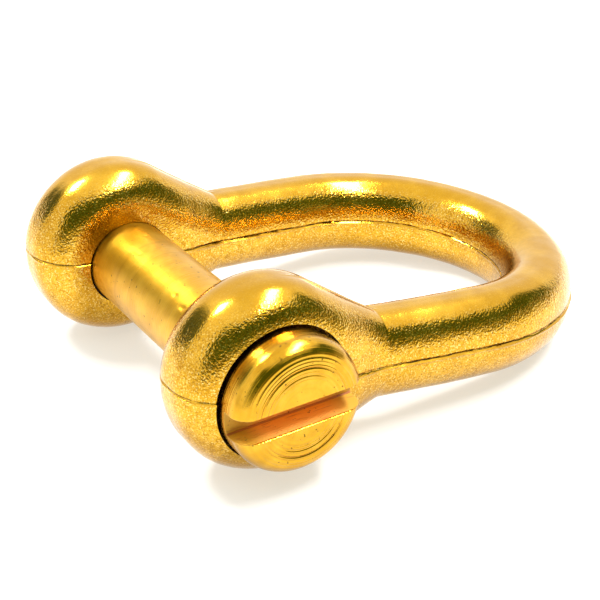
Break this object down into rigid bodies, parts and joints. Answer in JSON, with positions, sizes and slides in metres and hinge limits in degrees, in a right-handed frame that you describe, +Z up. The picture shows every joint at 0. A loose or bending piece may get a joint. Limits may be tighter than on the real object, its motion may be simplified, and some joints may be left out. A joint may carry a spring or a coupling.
{
  "type": "bow shackle",
  "caption": "Cast brass bow shackle with rounded ears and a slotted screw pin that slides out to open the loop.",
  "frame": {"origin": "on the floor under the middle of the shackle, which lies on its side at rest", "axes": "+X from the pin towards the bend, +Y along the pin from its head to its tip, +Z up"},
  "size_m": [0.0483, 0.0402, 0.0168],
  "materials": {
    "cast_brass": "satin",
    "turned_brass": "polished"
  },
  "bodies": {
    "bow": {"bow_body": "cast_brass"},
    "pin": {"screw_pin": "turned_brass"}
  },
  "joints": [
    {"name": "pin_slide", "type": "slide", "parent": "bow", "child": "pin", "axis": [0, -1, 0], "range_m": [0, 0.038]}
  ]
}
